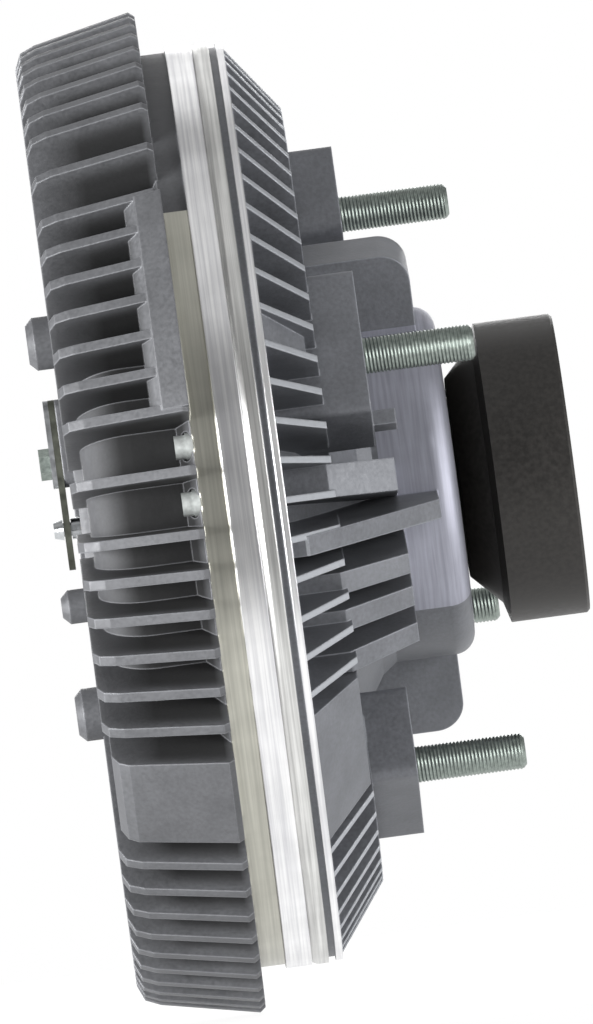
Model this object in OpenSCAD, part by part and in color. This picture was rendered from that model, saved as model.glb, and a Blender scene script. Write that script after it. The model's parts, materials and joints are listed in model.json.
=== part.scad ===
// Viscous fan clutch for a heavy engine.
// The clutch axis is X, the front (air) side points to -X and the drive end to +X.
// The origin is the centre of the drive end's mounting face, and +Z is up.
// Stations along the axis are counted from the joint plane between the two castings,
// positive towards the drive end. Clock angles are counted from the side at -Y, positive downwards.

/* [Rotor and chamber] */
// Diameter of the driven rotor disc
rotor_d = 222; // [200:1:240]
// Radial gap between the rotor and the chamber wall
chamber_gap = 1.5; // [1:0.1:2.5]
// Thickness of the rotor web
rotor_web = 6; // [5:0.5:8]
// Height of the interleaved ring lands
land_h = 7; // [5:0.5:8]
// Radial thickness of each ring land
land_t = 3; // [2:0.25:3.5]
// Gap between rotor lands and housing lands
land_gap = 0.6; // [0.4:0.05:1]
// Number of ring lands on the rotor
land_count = 4; // [2:1:4]
// Gap between rotor faces and what they run beside
face_gap = 1; // [0.6:0.1:1.5]
// Diameter of the rotor hub
rotor_hub_d = 60; // [54:1:61]
// Number of oil holes through the rotor web
rotor_holes = 6; // [4:1:8]
// Diameter of the oil holes
rotor_hole_d = 8; // [5:0.5:10]

/* [Castings] */
// Wall around the working chamber
drum_wall = 7; // [6:0.5:9]
// Radial height of the turned joint ring over the drum
ring_h = 9; // [8.5:0.25:12]
// Wall behind the working chamber
rear_wall = 4.5; // [4:0.25:6]
// Width of the turned ring on the housing
housing_ring_w = 4.7; // [4:0.1:7]
// Length of the bevel on the front edge of the housing ring
joint_bevel = 1.5; // [0.8:0.1:2.5]
// Width of the groove behind the turned ring
groove_w = 2; // [1:0.25:3]
// Depth of the groove behind the turned ring
groove_depth = 1.6; // [1:0.1:2.5]
// Width of the rim that the rear fins start from
rim_w = 2; // [1.5:0.25:3]
// Width of the turned ring on the cover
cover_ring_w = 7.3; // [5:0.1:9]
// Width of the cast land beside the turned ring
land_w = 7; // [6:0.5:9]
// Step from the turned ring down to the cast land
land_step = 1.2; // [0.5:0.1:2]

/* [Cover] */
// Radial height of the cover fins at their rear end
fin_h = 20.5; // [14:0.5:24]
// Loss of tip radius from the rear end of the fins to the front
fin_draft = 6; // [2:0.5:9]
// Length of the cover fins
fin_len = 34.6; // [30:0.2:42]
// Thickness of a cover fin at its root
fin_root_t = 3.6; // [2.6:0.1:4.2]
// Thickness of a cover fin at its tip
fin_tip_t = 2.6; // [1.8:0.1:3.2]
// Size of the chamfer on the front corner of the fins
fin_corner = 6; // [3:0.5:8]
// Size of the chamfer on the rear corner of the fins and pads
fin_rear_corner = 1.6; // [0.8:0.1:3]
// Height of the fins over the front face
front_rib_h = 4; // [2:0.5:6]
// Radius at which the fins end on the front face
front_rib_r = 84; // [76:1:95]
// Thickness of the front wall
front_wall = 7; // [6:0.5:9]
// Radius of the shoulder between drum and front face
shoulder_r = 14; // [8:0.5:16]
// Radius of the raised centre of the front face
plateau_r = 66; // [64:0.5:72]
// Height of the raised centre over the front face
plateau_h = 2.5; // [1.5:0.25:4]
// Depth of the solid collar between the fin ends and the ring
collar_w = 10; // [6:0.5:14]
// Size of the chamfer on the front edge of the collar
collar_bevel = 3; // [1:0.25:4]
// Distance of the smooth pads below the fin tips
pad_drop = 1.5; // [0.5:0.25:3]

/* [Rear fins and hub] */
// Number of rear fins
rear_fin_count = 72; // [60:4:80]
// Thickness of a rear fin
rear_fin_t = 1.8; // [1.4:0.1:2.6]
// Height of the rear fins over the wall
rear_fin_h = 13.8; // [10:0.2:16]
// Radial run of the sloped outer edge of the rear fins
rear_fin_slope = 20.5; // [14:0.5:26]
// Thickness of a hub rib at its outer end
hub_rib_t = 6.2; // [5:0.1:7]
// Radius at which the hub ribs start
hub_rib_r = 105; // [101:0.5:107]
// Radius at which the hub ribs reach their full height
hub_rib_top_r = 92; // [84:0.5:98]
// Height of the hub ribs over the wall
hub_rib_h = 31.5; // [29:0.1:36]
// Thickness of the broad rib beside each gusset
broad_rib_t = 9; // [7:0.25:11]
// Thickness of the long gussets between rim and hub
gusset_t = 5.3; // [4:0.1:7]
// Radius at which the gussets start
gusset_r = 121; // [116:0.5:123]
// Diameter of the hub
hub_d = 97; // [92:0.5:104]
// Height of the hub over the wall
hub_h = 48.1; // [47:0.1:54]
// Radius on the rear edge of the hub
hub_round = 6; // [3:0.5:8]
// Height of the two pilot lugs over the wall
lug_h = 42.6; // [38:0.2:45]
// Radius of the pilot circle on the lugs
lug_r = 70.3; // [66:0.1:74]
// Width of a pilot lug
lug_w = 17.6; // [14:0.2:22]
// Radius on the outer corner of a pilot lug
lug_round = 8; // [4:0.5:10]

/* [Fan studs] */
// Diameter of the stud circle
stud_pcd = 170; // [160:1:176]
// Diameter of a stud
stud_d = 10; // [8:1:12]
// Diameter of the stud's end in its boss
stud_root_d = 11.4; // [10.6:0.2:13]
// Free length of a stud behind its seat
stud_len = 30.4; // [20:0.2:36]
// Depth of a stud in its boss
stud_grip = 18; // [12:0.5:22]
// Height of the stud bosses over the wall
boss_h = 26.6; // [24:0.2:30]
// Width of a stud boss along the stud circle
boss_w = 43; // [30:0.5:46]
// Wall of the boss outside the stud circle
boss_out = 12; // [9:0.25:14]
// Wall of the boss inside the stud circle
boss_in = 15; // [10:0.5:18]
// Radius on the corners of a boss
boss_round = 3; // [1.5:0.25:5]
// Width of the small stop beside a boss seat
stop_w = 4.4; // [3:0.1:6]
// Height of the small stop over the seat
stop_h = 6.5; // [4:0.25:8]

/* [Bearing] */
// Bore of the bearing
bearing_bore = 35; // [33:0.5:37]
// Outer diameter of the bearing
bearing_od = 72; // [70:0.5:76]
// Width of the bearing
bearing_w = 27; // [25:0.5:28]
// Diameter of a ball
ball_d = 10; // [9.5:0.25:10.5]
// Number of balls in each row
ball_count = 11; // [9:1:12]
// Distance between the two rows of balls
row_pitch = 12.4; // [12:0.1:13]
// Radial play of the balls in their tracks
ball_play = 0.06; // [0.04:0.01:0.1]
// Thickness of the bearing shields
shield_t = 1.2; // [0.8:0.1:1.4]
// Thickness of the bearing circlip
circlip_t = 2.3; // [1.8:0.1:2.6]
// Radial depth of the circlip groove
circlip_bite = 1.6; // [1:0.1:2.2]
// Width of the shaft seal
seal_w = 8; // [6:0.25:9]

/* [Drive shaft] */
// Diameter of the drive end
drive_d = 83.4; // [78:0.2:96]
// Length of the straight part of the drive end
drive_len = 21.9; // [18:0.1:30]
// Gap between the hub and the drive end
drive_gap = 0.8; // [0.6:0.1:3]
// Diameter of the neck between hub and drive end
neck_d = 45; // [42:0.5:47]
// Diameter of the drive end where its front cone starts
cone_d = 55.4; // [52:0.2:60]
// Length of the front cone of the drive end
cone_len = 8.1; // [4:0.1:9]
// Length of the bevel between cone and straight part
bevel_len = 1.6; // [1:0.1:3]
// Radial width of the bevel
bevel_w = 5.7; // [3:0.1:7]
// Diameter of the pilot bore in the drive face
pilot_d = 50; // [46:0.5:52]
// Depth of the pilot bore
pilot_depth = 8; // [5:0.5:10]
// Bolt circle of the drive face
drive_pcd = 66; // [65:0.5:68]
// Number of threaded holes in the drive face
drive_holes = 6; // [4:1:8]
// Core diameter of the threaded holes
drive_hole_d = 6.8; // [5:0.1:7]
// Depth of the threaded holes
drive_hole_depth = 15; // [10:0.5:18]
// Diameter of the rotor seat on the shaft
seat_d = 32; // [29:0.5:33]
// Thread diameter for the rotor nut
nut_thread_d = 24; // [20:1:26]
// Height of the rotor nut
nut_h = 10; // [8:0.5:11]
// Thickness of the rotor washer
washer_t = 2.5; // [1.5:0.25:3]

/* [Cover screws and seals] */
// Diameter of a cover screw
screw_d = 5; // [4:0.5:5.5]
// Head diameter of a cover screw
screw_head_d = 7.6; // [7:0.1:8.8]
// Head height of a cover screw
screw_head_h = 5; // [3:0.25:6]
// Depth of the cover screws in the housing ring
screw_bite = 6.5; // [5:0.25:7]
// Section diameter of the cover seal
seal_section = 2.7; // [2.2:0.1:3]
// Share of the section left when the seal is pressed
seal_squeeze = 0.82; // [0.75:0.01:0.9]

/* [Divider and valve] */
// Thickness of the divider plate
divider_t = 2; // [1.5:0.1:3]
// Width of the seat that the divider plate rests on
divider_seat = 7; // [6:0.25:9]
// Number of divider screws
divider_screw_count = 6; // [4:1:8]
// Diameter of a divider screw
divider_screw_d = 3; // [2.5:0.25:3.5]
// Diameter of the oil port in the divider plate
port_d = 7; // [4:0.5:9]
// Distance of the oil port from the axis
port_r = 34; // [28:0.5:42]
// Distance of the valve rivet from the axis
rivet_r = 30; // [26:0.5:36]
// Diameter of the valve rivet
rivet_d = 5; // [4:0.25:6]
// Thickness of the valve lever
lever_t = 1.2; // [0.8:0.1:1.6]
// Width of the valve lever
lever_w = 13; // [12:0.5:18]
// Gap between the closed valve lever and the plate
lever_gap = 0.3; // [0.2:0.05:0.4]

/* [Bimetal control] */
// Diameter of the control pin
pin_d = 6; // [5:0.25:7]
// Running gap around the control pin
pin_gap = 0.05; // [0.02:0.01:0.1]
// Depth of the guide boss behind the front wall
guide_depth = 10; // [8:0.5:14]
// Outer diameter of the guide bush
bush_d = 10; // [9:0.25:12]
// Thickness of the bimetal strip
strip_t = 1.8; // [1.2:0.1:2.2]
// Width of the bimetal strip
strip_w = 14; // [10:0.5:16]
// Length of the strip above the axis
strip_up = 36; // [30:0.5:42]
// Length of the strip below the axis
strip_down = 11.4; // [8:0.2:14]
// Height of the strip over the raised centre
strip_stand = 3; // [2.6:0.1:4]
// Distance of the strip screw from the axis
clamp_r = 18.5; // [18:0.5:24]
// Diameter of the strip screw
clamp_screw_d = 5; // [4:0.25:6]
// Radius of the circle of the front bosses
face_boss_r = 54.6; // [50:0.2:56]
// Diameter of the two large front bosses
face_boss_d = 14.7; // [12:0.1:16]
// Diameter of the small front boss
small_boss_d = 9.4; // [8:0.1:11]
// Height of a front boss over the raised centre
face_boss_h = 8.2; // [5:0.1:10]
// Diameter of the threaded hole in a front boss
face_hole_d = 5; // [4:0.25:6.8]

/* [Hidden] */
$fn = 96;
// Depth by which joined shapes reach into each other
overlap = 1.5;
// Length by which a cutting shape passes a face
cut_past = 1;
// Radial play of a piece in its hole
hole_play = 0.25;
// Distance by which the outlines of fins and ribs pass their sections, inwards and outwards
outline_in = 4;
outline_out = 2;
// Depth by which ribs and lugs reach into the hub
hub_bite = 2;

// Clock angles and counts that the castings share
stud_count = 4;
stud_clock = -25.2;
stud_clocks = [for (i = [0:stud_count - 1]) stud_clock + 360 / stud_count * i];
face_boss_clock = -71.5;
small_boss_clock = 23;
lug_clock = -70;
gusset_clock = 6.3;
broad_rib_clock = -2;
hub_rib_clocks = [13.5, 19.3, 26];
screw_fins = [-46.2, -4.7];
wide_gap = 7.2;
collar_fin_count = 7;
side_fin_count = 6;
far_fin_count = 19;
pad_from = 29.8;
pad_to = 41.1;
pad_fin_gap = [4.6, 3.2];
ramp_from = 28;
ramp_to = 48;

// Radii of the castings
rotor_r = rotor_d / 2;
chamber_r = rotor_r + chamber_gap;
drum_r = chamber_r + drum_wall;
ring_r = drum_r + ring_h;
land_r = ring_r - land_step;
tip_r = drum_r + fin_h;
tip_front_r = tip_r - fin_draft;
hub_r = hub_d / 2;
stud_r = stud_pcd / 2;
bearing_r = bearing_od / 2;
rib_root_r = hub_r - hub_bite - cut_past;

// Stations behind the joint plane
groove_z = housing_ring_w;
rim_z = groove_z + groove_w;
wall_z = rim_z + rim_w;
chamber_z = wall_z - rear_wall;
fin_top_z = wall_z + rear_fin_h;
seat_z = wall_z + boss_h;
rib_top_z = wall_z + hub_rib_h;
lug_top_z = wall_z + lug_h;
hub_z = wall_z + hub_h;
seal_z = hub_z - seal_w;
circlip_z = seal_z - circlip_t - face_gap;
bearing_back_z = circlip_z;
bearing_front_z = bearing_back_z - bearing_w;
cone_z = hub_z + drive_gap;
bevel_z = cone_z + cone_len;
drive_z = bevel_z + bevel_len;
drive_face_z = drive_z + drive_len;

// Stations of the rotor and the divider plate
rotor_back_z = chamber_z - face_gap - land_h;
rotor_front_z = rotor_back_z - rotor_web;
divider_z = rotor_front_z - face_gap;
divider_front_z = divider_z - divider_t;
nut_floor_z = rotor_front_z + nut_h + washer_t;

// Stations in front of the joint plane
land_end_z = -cover_ring_w - land_w;
land_lip = 0.4;
land_slope = 3;
fin_front_z = land_end_z - fin_len;
face_z = fin_front_z + front_rib_h;
plateau_z = face_z - plateau_h;
inner_face_z = face_z + front_wall;
guide_z = inner_face_z + guide_depth;
strip_back_z = plateau_z - strip_stand;
strip_front_z = strip_back_z - strip_t;
clamp_t = 1.4;
strip_round = 3;
clamp_len = strip_up - clamp_r + strip_w / 2;
clamp_mid = strip_up - clamp_len / 2;
clamp_front_z = strip_front_z - clamp_t;

// Screw circle of the cover
screw_head_r = screw_head_d / 2;
screw_circle_r = drum_r + screw_head_r + 2 * hole_play;
screw_seat_z = land_end_z;

// Bearing sections
pitch_shift = 0.1;
ring_share = 0.62;
pitch_r = (bearing_bore / 2 + bearing_r) / 2 + pitch_shift;
ball_r = ball_d / 2;
track_r = ball_r + ball_play;
inner_ring_r = pitch_r - ball_r * ring_share;
outer_ring_r = pitch_r + ball_r * ring_share;
bearing_mid_z = (bearing_front_z + bearing_back_z) / 2;
rows = [bearing_mid_z - row_pitch / 2, bearing_mid_z + row_pitch / 2];

// Colours of the finishes
cast_grey = "#8b8c8f";
turned_silver = "#c9cad0";
zinc_grey = "#8f9a94";
drive_black = "#2f2e2d";
steel_grey = "#a6a8aa";
bright_steel = "#c3c6c8";
rubber_black = "#1d1d1e";
bronze = "#a98246";
bimetal_grey = "#55574f";

// Helpers

// Puts a shape drawn about Z, at stations from the joint plane, on the clutch axis
module on_axis() {
    rotate([0, 90, 0])
        translate([0, 0, -drive_face_z])
            children();
}

// Turns a shape drawn along +x to a clock angle
module at_clock(clock) {
    rotate([0, 0, clock - 90])
        children();
}

// Revolves a profile between two clock angles
module sector(from, to) {
    rotate([0, 0, from - 90])
        rotate_extrude(angle = to - from)
            children();
}

module rounded_rect(size, r) {
    square([size[0] - 2 * r, size[1]], center = true);
    square([size[0], size[1] - 2 * r], center = true);
    for (x = [-1, 1], y = [-1, 1])
        translate([x * (size[0] / 2 - r), y * (size[1] / 2 - r)])
            circle(r);
}

// Quarter disc that rounds a corner of a section, towards the rear (1) or the front (-1)
module round_corner(centre, r, side = 1) {
    translate(centre)
        intersection() {
            circle(r);
            translate([0, side > 0 ? 0 : -r])
                square(r);
        }
}

// A radial plate with a section drawn over radius and station
module plate(clock, t) {
    at_clock(clock)
        rotate([90, 0, 0])
            linear_extrude(height = t, center = true)
                children();
}

// A tube between two stations
module tube(r_in, r_out, z0, z1) {
    translate([0, 0, z0])
        difference() {
            cylinder(r = r_out, h = z1 - z0);
            translate([0, 0, -cut_past])
                cylinder(r = r_in, h = z1 - z0 + 2 * cut_past);
        }
}

function polar(r, a) = [r * cos(a), r * sin(a)];

// Evenly spaced clock angles from one angle to another, both included
function fill(from, to, count) = [for (i = [0:count - 1]) from + (to - from) * i / (count - 1)];

// Outline of a set of radial fins on a common core
function fin_outline(clocks, r_in, r_out, t_in, t_out) = [
    for (c = clocks)
        each [
            polar(r_in, c - 90 - asin(t_in / 2 / r_in)),
            polar(r_out, c - 90 - asin(t_out / 2 / r_out)),
            polar(r_out, c - 90 + asin(t_out / 2 / r_out)),
            polar(r_in, c - 90 + asin(t_in / 2 / r_in))
        ]
];

// Front cover

// Clock angles of the cover fins over half a turn; the other half repeats them
half_fins = concat(
    fill(screw_fins[0] + wide_gap, screw_fins[1] - wide_gap, collar_fin_count),
    [screw_fins[1]],
    fill(screw_fins[1] + wide_gap, pad_from - pad_fin_gap[0], side_fin_count),
    fill(pad_to + pad_fin_gap[1], screw_fins[0] + 180 - wide_gap, far_fin_count),
    [screw_fins[0] + 180]
);
cover_fins = concat(half_fins, [for (c = half_fins) c + 180]);

// Clock angles of the cover screws, one in each wide gap
screw_clocks = [for (turn = [0, 180], c = screw_fins, side = [-1, 1]) c + turn + side * wide_gap / 2];

// Radius of the fin tips at a station
function tip_at(z) = tip_r - fin_draft * (land_end_z - z) / (fin_len - fin_corner);

// Section of the space that the cover fins fill, dropped below the tips where asked
module fin_section(drop = 0) {
    corner_bend = fin_corner * 0.3;
    polygon([
        [front_rib_r, face_z + overlap],
        [front_rib_r, fin_front_z + drop],
        [tip_front_r - fin_corner - drop, fin_front_z + drop],
        [tip_front_r - corner_bend - drop, fin_front_z + corner_bend + drop],
        [tip_front_r - drop, fin_front_z + fin_corner],
        [tip_at(land_end_z - fin_rear_corner) - drop, land_end_z - fin_rear_corner],
        [tip_r - fin_rear_corner - drop, land_end_z],
        [drum_r - overlap, land_end_z],
        [drum_r - overlap, face_z + shoulder_r],
        [drum_r - shoulder_r, face_z + overlap]
    ]);
}

module cover_fin_set() {
    intersection() {
        translate([0, 0, fin_front_z - cut_past])
            linear_extrude(height = fin_len + 2 * cut_past)
                polygon(fin_outline(
                    cover_fins, front_rib_r - outline_in, tip_r + outline_out, fin_root_t, fin_tip_t
                ));
        rotate_extrude()
            fin_section();
    }
}

// Smooth pads that take the place of three fins
module cover_pads() {
    for (turn = [0, 180])
        sector(pad_from + turn, pad_to + turn)
            fin_section(pad_drop);
}

collar_z = land_end_z - collar_w;
collar_rise = 0.3;

// Solid collars between the fin ends and the ring, level with the fin tips
module cover_collars() {
    for (turn = [0, 180])
        sector(screw_fins[0] + wide_gap + turn, screw_fins[1] - wide_gap + turn)
            polygon([
                [drum_r - overlap, land_end_z + overlap],
                [drum_r - overlap, collar_z],
                [tip_at(collar_z) - collar_bevel, collar_z],
                [tip_at(collar_z + collar_bevel) + collar_rise, collar_z + collar_bevel],
                [tip_r + collar_rise, land_end_z],
                [tip_r + collar_rise, land_end_z + collar_rise],
                [land_r - overlap, land_end_z + collar_rise]
            ]);
}

seal_wall = 1.5;
seal_r = chamber_r + seal_wall + seal_section / 2;
seal_groove_depth = seal_section * seal_squeeze;

// Section of the cover's bowl, with the divider seat, the seal groove and the guide boss
module cover_section() {
    shoulder = [drum_r - shoulder_r, face_z + shoulder_r];
    bore_r = pin_d / 2 + 1;
    guide_r = bush_d / 2 + 4;
    guide_draft = 1;
    difference() {
        union() {
            polygon([
                [bore_r, plateau_z],
                [plateau_r, plateau_z],
                [plateau_r + plateau_h / 2, face_z],
                [shoulder[0], face_z],
                shoulder,
                [drum_r, shoulder[1]],
                [drum_r, land_end_z - land_lip - land_step * land_slope],
                [land_r, land_end_z - land_lip],
                [land_r, -cover_ring_w],
                [ring_r, -cover_ring_w],
                [ring_r, 0],
                [chamber_r, 0],
                [chamber_r, divider_front_z],
                [chamber_r - divider_seat, divider_front_z],
                [chamber_r - divider_seat, inner_face_z + divider_seat],
                [chamber_r - 2 * divider_seat, inner_face_z],
                [guide_r + guide_draft, inner_face_z],
                [guide_r, guide_z],
                [bore_r, guide_z]
            ]);
            round_corner(shoulder, shoulder_r, -1);
        }
        translate([seal_r - seal_section / 2 - hole_play, -seal_groove_depth])
            square([seal_section + 2 * hole_play, seal_groove_depth + cut_past]);
    }
}

seal_pocket = 2.4;

module front_cover() {
    color(cast_grey)
        on_axis()
            difference() {
                union() {
                    rotate_extrude()
                        cover_section();
                    cover_fin_set();
                    cover_pads();
                    cover_collars();
                    face_bosses();
                    strip_post();
                }
                translate([0, 0, plateau_z - cut_past])
                    cylinder(d = bush_d, h = guide_z - plateau_z + 2 * cut_past);
                for (c = screw_clocks)
                    at_clock(c)
                        translate([screw_circle_r, 0, 0])
                            cover_screw_hole();
                for (turn = [0, 180])
                    at_clock(face_boss_clock + turn)
                        translate([face_boss_r, 0, plateau_z - face_boss_h - cut_past])
                            cylinder(d = face_hole_d, h = face_boss_h + cut_past);
                translate([-clamp_r, 0, strip_back_z - cut_past])
                    cylinder(d = clamp_screw_d, h = strip_stand + front_wall);
                for (i = [0:divider_screw_count - 1])
                    rotate([0, 0, 360 / divider_screw_count * i])
                        translate([divider_screw_r, 0, divider_front_z - divider_bite])
                            cylinder(d = divider_screw_d, h = divider_bite + cut_past);
            }
}

module cover_screw_hole() {
    access = screw_head_h * 3;
    translate([0, 0, screw_seat_z - access])
        cylinder(r = screw_head_r + hole_play, h = access);
    translate([0, 0, screw_seat_z - cut_past])
        cylinder(d = screw_d + 2 * hole_play, h = cover_ring_w + land_w + 2 * cut_past);
}

module face_bosses() {
    for (turn = [0, 180])
        at_clock(face_boss_clock + turn)
            translate([face_boss_r, 0, plateau_z - face_boss_h])
                face_boss(face_boss_d);
    at_clock(small_boss_clock)
        translate([face_boss_r, 0, plateau_z - face_boss_h])
            face_boss(small_boss_d);
}

module face_boss(d) {
    edge = 2;
    cylinder(d1 = d - 2 * edge, d2 = d, h = edge);
    translate([0, 0, edge])
        cylinder(d = d, h = face_boss_h - edge + overlap);
}

// Raised seat under the fixed part of the bimetal strip
module strip_post() {
    translate([-clamp_mid, 0, strip_back_z])
        linear_extrude(height = strip_stand + overlap)
            rounded_rect([clamp_len, strip_w], strip_round);
}

// Rear housing

rear_fin_pitch = 360 / rear_fin_count;
all_rear_fins = [for (i = [0:rear_fin_count - 1]) i * rear_fin_pitch];
rear_fins = [for (c = all_rear_fins) if (c % 180 < ramp_from || c % 180 > ramp_to) c];
hub_ribs = [for (turn = [0, 180], c = hub_rib_clocks) c + turn];

rim_step = 0.7;
ramp_drop = 0.5;
shallow_drop = 3;

// Radii of the housing's cone: its foot, the hollow under it and the inner ends of the rear fins
cone_foot_r = hub_rib_r - 20;
core_out_r = hub_rib_r - 26;
rear_fin_in_r = hub_rib_r - 43;
rear_fin_draft = 0.4;

// Section of the space that the rear fins fill, lowered where asked
module rear_fin_section(drop = 0) {
    polygon([
        [rear_fin_in_r, wall_z - overlap],
        [ring_r - rim_step - drop, wall_z - overlap],
        [ring_r - rim_step - drop, wall_z - rim_w / 2],
        [ring_r - rear_fin_slope - drop, fin_top_z - drop],
        [rear_fin_in_r, fin_top_z - drop]
    ]);
}

module rear_fin_set() {
    intersection() {
        translate([0, 0, wall_z - overlap - cut_past])
            linear_extrude(height = rear_fin_h + overlap + 2 * cut_past)
                polygon(fin_outline(
                    rear_fins, rear_fin_in_r - outline_in, ring_r + outline_out,
                    rear_fin_t + rear_fin_draft, rear_fin_t
                ));
        rotate_extrude()
            rear_fin_section();
    }
}

// Solid ramps and single shallow gaps between the rear fins
module rear_ramps() {
    for (turn = [0, 180]) {
        sector(ramp_from + turn, ramp_to + turn)
            rear_fin_section(ramp_drop);
        sector(stud_clock + turn, stud_clock + rear_fin_pitch + turn)
            rear_fin_section(shallow_drop);
    }
}

module hub_rib_set() {
    root_t = hub_rib_t * 0.6;
    intersection() {
        translate([0, 0, wall_z - overlap - cut_past])
            linear_extrude(height = hub_rib_h + overlap + 2 * cut_past)
                polygon(fin_outline(
                    hub_ribs, rib_root_r - cut_past, hub_rib_r + outline_out, root_t, hub_rib_t
                ));
        rotate_extrude()
            hub_rib_section();
    }
}

// Section of a hub rib, lowered at its end where asked
module hub_rib_section(drop = 0) {
    polygon([
        [rib_root_r, wall_z - overlap],
        [hub_rib_r - drop, wall_z - overlap],
        [hub_rib_r - drop, fin_top_z - overlap],
        [hub_rib_top_r - drop, rib_top_z - drop],
        [rib_root_r, rib_top_z - drop]
    ]);
}

// Broad ribs and long gussets that run from the rim to the hub
module broad_ribs() {
    gusset_foot_z = wall_z + rear_fin_h / 3;
    gusset_top_r = lug_r + 1;
    for (turn = [0, 180]) {
        plate(broad_rib_clock + turn, broad_rib_t)
            hub_rib_section(ramp_drop);
        plate(gusset_clock + turn, gusset_t)
            polygon([
                [rib_root_r, wall_z - overlap],
                [gusset_r, wall_z - overlap],
                [gusset_r, gusset_foot_z],
                [gusset_top_r, lug_top_z - ramp_drop],
                [rib_root_r, lug_top_z - ramp_drop]
            ]);
    }
}

module stud_bosses() {
    for (c = stud_clocks)
        at_clock(c)
            translate([stud_r + (boss_out - boss_in) / 2, 0, wall_z - overlap])
                linear_extrude(height = boss_h + overlap)
                    rounded_rect([boss_out + boss_in, boss_w], boss_round);
}

// Small stops beside the seats of two bosses
module seat_stops() {
    inset = 0.4;
    for (turn = [0, 180])
        at_clock(stud_clock + turn)
            translate([stud_r - stop_w, boss_w / 2 - stop_w - inset, seat_z - overlap])
                cube([stop_w, stop_w, stop_h + overlap]);
}

module pilot_lugs() {
    corner = [lug_r - lug_round, lug_top_z - lug_round];
    for (turn = [0, 180])
        plate(lug_clock + turn, lug_w) {
            polygon([
                [rib_root_r, wall_z],
                [lug_r, wall_z],
                [lug_r, corner[1]],
                corner,
                [corner[0], lug_top_z],
                [rib_root_r, lug_top_z]
            ]);
            round_corner(corner, lug_round);
        }
}

// Hollow behind the wall, under the cone of the housing
module core_pocket() {
    core_in_r = hub_r + 4;
    core_top_r = core_in_r + 2;
    core_top_w = 7;
    rotate_extrude()
        polygon([
            [core_in_r, chamber_z - cut_past],
            [core_top_r, bearing_front_z],
            [core_top_r + core_top_w, bearing_front_z],
            [core_out_r, chamber_z - cut_past]
        ]);
}

// Section of the housing: ring, wall, ring lands, hub and bearing seat
module housing_section() {
    land_pitch = 2 * (land_t + land_gap);
    hub_corner = [hub_r - hub_round, hub_z - hub_round];
    stop_r = bearing_r - 5;
    rim_r = ring_r - 0.4;
    cone_top = [hub_r + 3, rib_top_z - 10];
    hub_foot_z = rib_top_z - 6;
    difference() {
        union() {
            polygon([
                [stop_r, chamber_z],
                [chamber_r, chamber_z],
                [chamber_r, 0],
                [ring_r - joint_bevel / 2, 0],
                [ring_r, joint_bevel],
                [ring_r, groove_z],
                [ring_r - groove_depth, groove_z],
                [ring_r - groove_depth, rim_z],
                [rim_r, rim_z],
                [rim_r, wall_z],
                [cone_foot_r, wall_z],
                cone_top,
                [hub_r, hub_foot_z],
                [hub_r, hub_corner[1]],
                hub_corner,
                [hub_corner[0], hub_z],
                [bearing_r, hub_z],
                [bearing_r, bearing_front_z],
                [stop_r, bearing_front_z]
            ]);
            round_corner(hub_corner, hub_round);
            for (i = [0:land_count - 2])
                translate([rotor_r - land_t - land_gap - land_t - i * land_pitch, chamber_z - land_h])
                    square([land_t, land_h + cut_past]);
        }
        translate([bearing_r - cut_past, circlip_z])
            square([circlip_bite + cut_past, circlip_t]);
    }
}

module rear_housing() {
    color(cast_grey)
        on_axis()
            difference() {
                union() {
                    rotate_extrude()
                        housing_section();
                    difference() {
                        union() {
                            rear_fin_set();
                            rear_ramps();
                            hub_rib_set();
                            broad_ribs();
                            stud_bosses();
                            seat_stops();
                            pilot_lugs();
                        }
                        translate([0, 0, chamber_z])
                            cylinder(r = hub_r - hub_bite, h = hub_z);
                    }
                }
                core_pocket();
                for (c = stud_clocks)
                    at_clock(c)
                        translate([stud_r, 0, seat_z - stud_grip])
                            cylinder(d = stud_root_d, h = stud_grip + cut_past);
                for (c = screw_clocks)
                    at_clock(c)
                        translate([screw_circle_r, 0, -cut_past])
                            cylinder(d = screw_d, h = screw_bite + cut_past);
            }
}

// Fasteners and seals of the castings

module cover_screw() {
    crown_d = screw_head_d * 0.86;
    flange_h = screw_head_h * 0.4;
    socket_d = screw_d * 0.92;
    socket_depth = screw_head_h * 0.6;
    difference() {
        union() {
            translate([0, 0, screw_seat_z - screw_head_h])
                cylinder(d = crown_d, h = screw_head_h);
            translate([0, 0, screw_seat_z - flange_h])
                cylinder(d = screw_head_d, h = flange_h);
        }
        translate([0, 0, screw_seat_z - screw_head_h - cut_past])
            cylinder(d = socket_d, h = socket_depth + cut_past, $fn = 6);
    }
    translate([0, 0, screw_seat_z])
        cylinder(d = screw_d, h = screw_bite - screw_seat_z);
}

module cover_screws() {
    color(steel_grey)
        on_axis()
            for (c = screw_clocks)
                at_clock(c)
                    translate([screw_circle_r, 0, 0])
                        cover_screw();
}

module cover_seal() {
    color(rubber_black)
        on_axis()
            rotate_extrude()
                translate([seal_r, -seal_groove_depth / 2])
                    intersection() {
                        circle(d = seal_section);
                        square([seal_section, seal_groove_depth], center = true);
                    }
}

module fan_stud() {
    tip = stud_d * 0.12;
    translate([0, 0, seat_z - stud_grip])
        cylinder(d = stud_root_d, h = stud_grip);
    translate([0, 0, seat_z])
        cylinder(d = stud_d, h = stud_len - tip);
    translate([0, 0, seat_z + stud_len - tip])
        cylinder(d1 = stud_d, d2 = stud_d - 2 * tip, h = tip);
}

module fan_studs() {
    color(zinc_grey)
        on_axis()
            for (c = stud_clocks)
                at_clock(c)
                    translate([stud_r, 0, 0])
                        fan_stud();
}

// Drive shaft and rotor

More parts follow.
